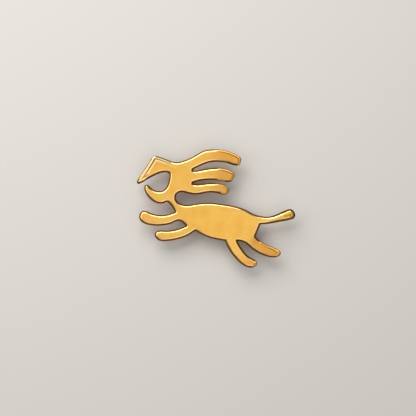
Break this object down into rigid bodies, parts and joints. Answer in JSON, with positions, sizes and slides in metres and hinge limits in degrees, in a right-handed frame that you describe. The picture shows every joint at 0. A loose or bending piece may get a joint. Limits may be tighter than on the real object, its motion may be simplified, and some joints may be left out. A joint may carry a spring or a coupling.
{
  "type": "hood ornament",
  "caption": "Flat cast figure of a running animal with flowing mane, raised free ends, and threaded studs, pads, washers and nuts on its back for a hood.",
  "frame": {"origin": "middle of the figure's outline, at the level of the stud ends", "axes": "+X from the nose towards the tail, +Y from the legs towards the mane, +Z out of the figure's face"},
  "size_m": [0.152, 0.1138, 0.0205],
  "materials": {
    "gold_brass": "satin face, polished edges",
    "stud_brass": "as turned",
    "rubber": "matte",
    "zinc_steel": "bright zinc",
    "spring_steel": "oiled dark"
  },
  "bodies": {
    "ornament": {"figure": "gold_brass", "stud_head": "stud_brass", "stud_chest": "stud_brass", "stud_haunch": "stud_brass", "rubber_pad_head": "rubber", "rubber_pad_chest": "rubber", "rubber_pad_haunch": "rubber"},
    "washers_head": {"flat_washer_head": "zinc_steel", "lock_washer_head": "spring_steel"},
    "nut_head": {"nut_head": "zinc_steel"},
    "washers_chest": {"flat_washer_chest": "zinc_steel", "lock_washer_chest": "spring_steel"},
    "nut_chest": {"nut_chest": "zinc_steel"},
    "washers_haunch": {"flat_washer_haunch": "zinc_steel", "lock_washer_haunch": "spring_steel"},
    "nut_haunch": {"nut_haunch": "zinc_steel"}
  },
  "joints": [
    {"name": "washers_head_slide", "type": "slide", "parent": "ornament", "child": "washers_head", "axis": [0, 0, -1], "range_m": [0, 0.0016]},
    {"name": "nut_head_turn", "type": "hinge", "parent": "washers_head", "child": "nut_head", "pos_m": [-0.032, 0.02995, 0.0036], "axis": [0, 0, -1], "range_deg": [0, 720]},
    {"name": "washers_chest_slide", "type": "slide", "parent": "ornament", "child": "washers_chest", "axis": [0, 0, -1], "range_m": [0, 0.0016]},
    {"name": "nut_chest_turn", "type": "hinge", "parent": "washers_chest", "child": "nut_chest", "pos_m": [-0.021, -0.00755, 0.0036], "axis": [0, 0, -1], "range_deg": [0, 720]},
    {"name": "washers_haunch_slide", "type": "slide", "parent": "ornament", "child": "washers_haunch", "axis": [0, 0, -1], "range_m": [0, 0.0016]},
    {"name": "nut_haunch_turn", "type": "hinge", "parent": "washers_haunch", "child": "nut_haunch", "pos_m": [0.024, -0.01455, 0.0036], "axis": [0, 0, -1], "range_deg": [0, 720]}
  ],
  "couplings": [
    {"joint": "nut_head_turn", "follows": "washers_head_slide", "rad_per_m": 7853.9},
    {"joint": "nut_chest_turn", "follows": "washers_chest_slide", "rad_per_m": 7853.9},
    {"joint": "nut_haunch_turn", "follows": "washers_haunch_slide", "rad_per_m": 7853.9}
  ]
}
